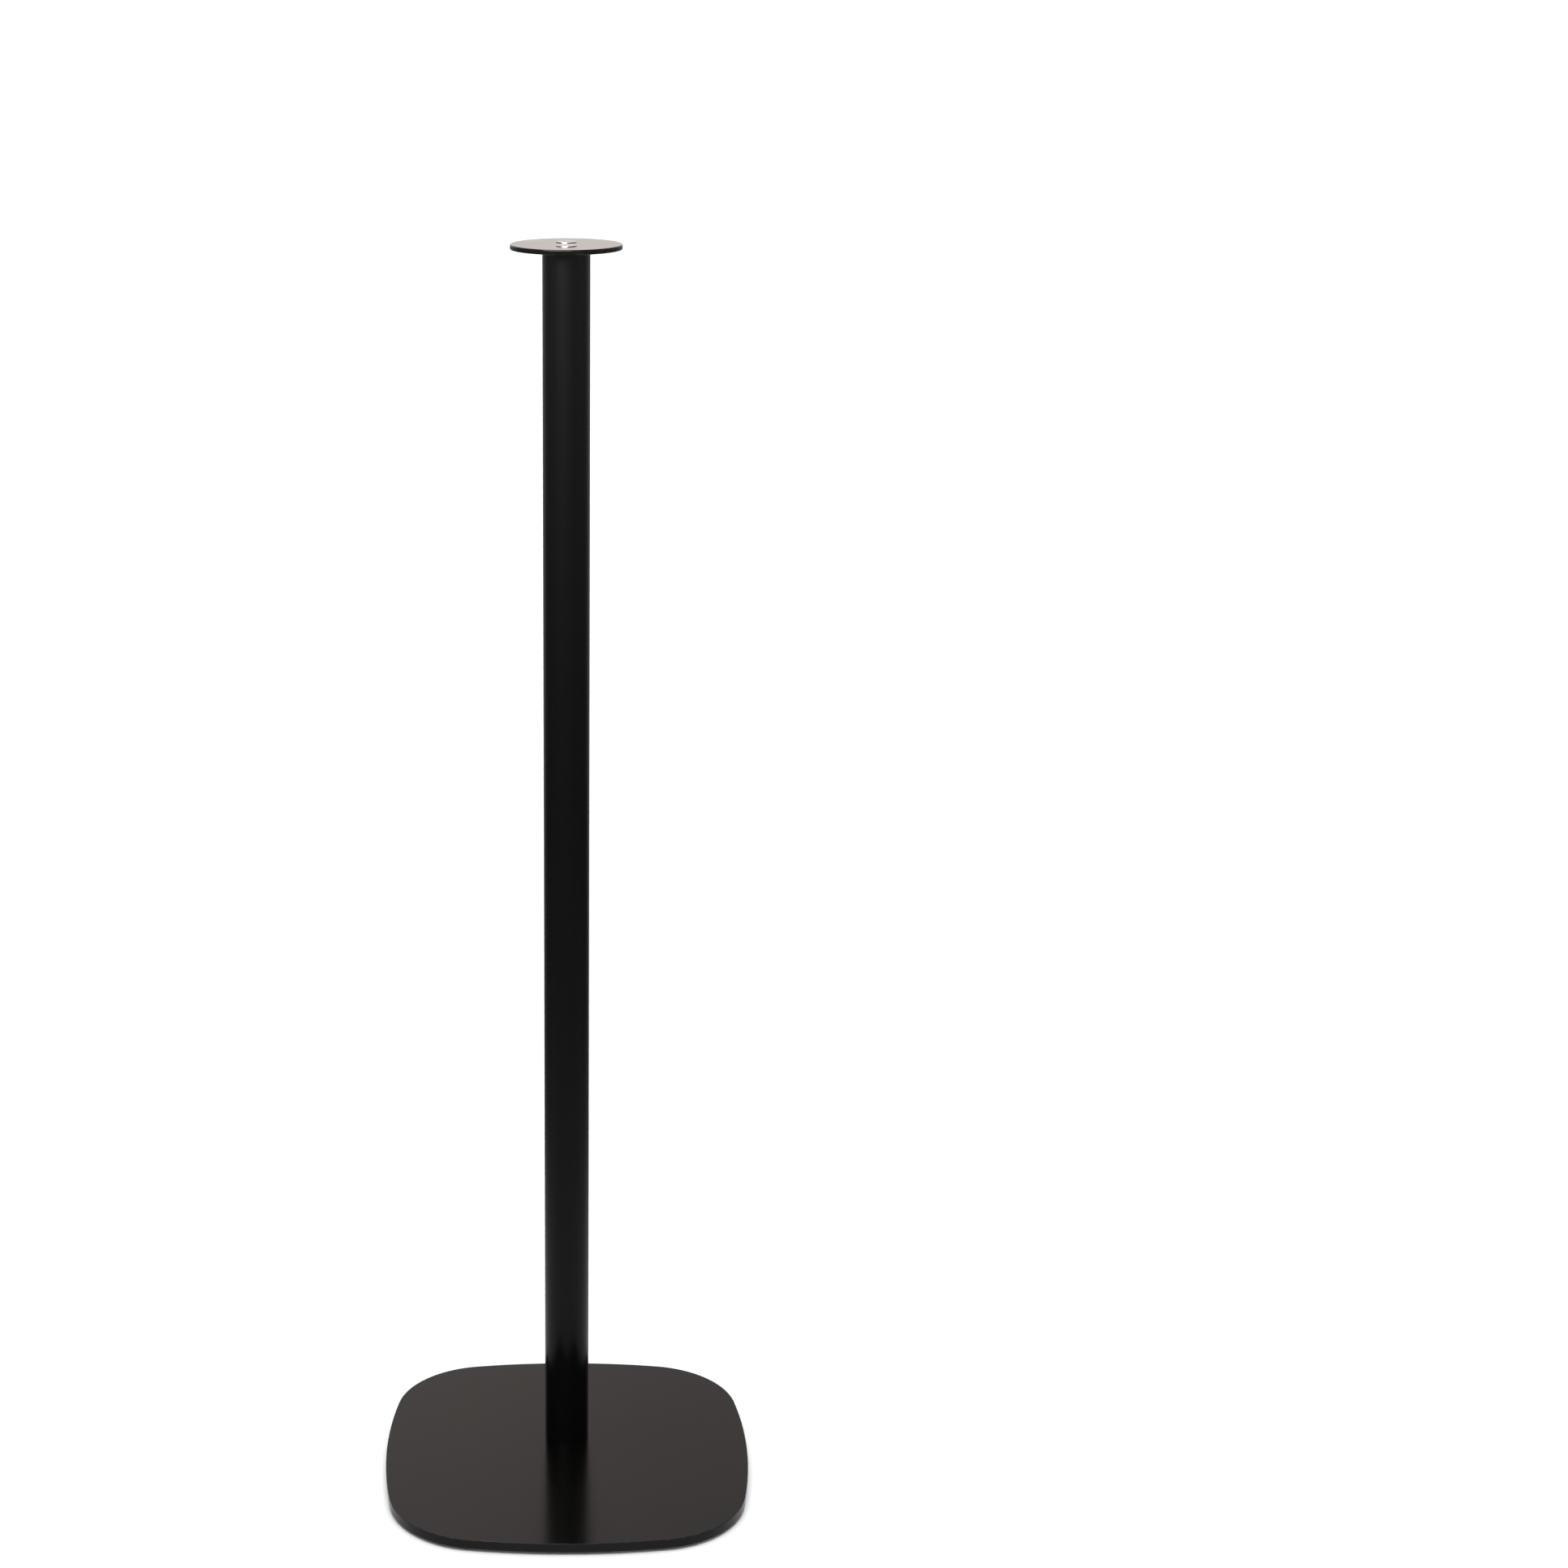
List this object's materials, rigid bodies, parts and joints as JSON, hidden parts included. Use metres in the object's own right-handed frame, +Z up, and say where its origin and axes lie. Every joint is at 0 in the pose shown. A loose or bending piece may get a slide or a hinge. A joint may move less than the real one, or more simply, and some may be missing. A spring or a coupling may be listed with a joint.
{
  "type": "speaker stand",
  "caption": "Floor stand for a small loudspeaker: a heavy square base plate with bowed sides, a slim straight tube set back from its middle, and a thin round disc on top.",
  "frame": {"origin": "on the floor, under the middle of the base plate", "axes": "+Z up along the tube, -Y to the front, +X to the right of someone who faces the front; the tube stands 28 mm behind the origin"},
  "size_m": [0.3, 0.3, 1.0006],
  "materials": {
    "powder_coat_base": "satin black powder coat on steel plate",
    "powder_coat_pole": "satin black powder coat on steel tube",
    "powder_coat_disc": "satin black powder coat on steel sheet",
    "plain_steel": "turned, uncoated",
    "bright_zinc": "zinc plate",
    "black_oxide": "black oxide",
    "foot_rubber": "matt moulded rubber"
  },
  "bodies": {
    "root": {"base_plate": "powder_coat_base", "pole_tube": "powder_coat_pole", "top_plate": "powder_coat_disc", "foot_plug": "plain_steel", "head_plug": "plain_steel", "top_plate_screws": "bright_zinc", "base_screws": "black_oxide", "foot_front_left": "foot_rubber", "foot_front_right": "foot_rubber", "foot_rear_left": "foot_rubber", "foot_rear_right": "foot_rubber"}
  },
  "joints": []
}
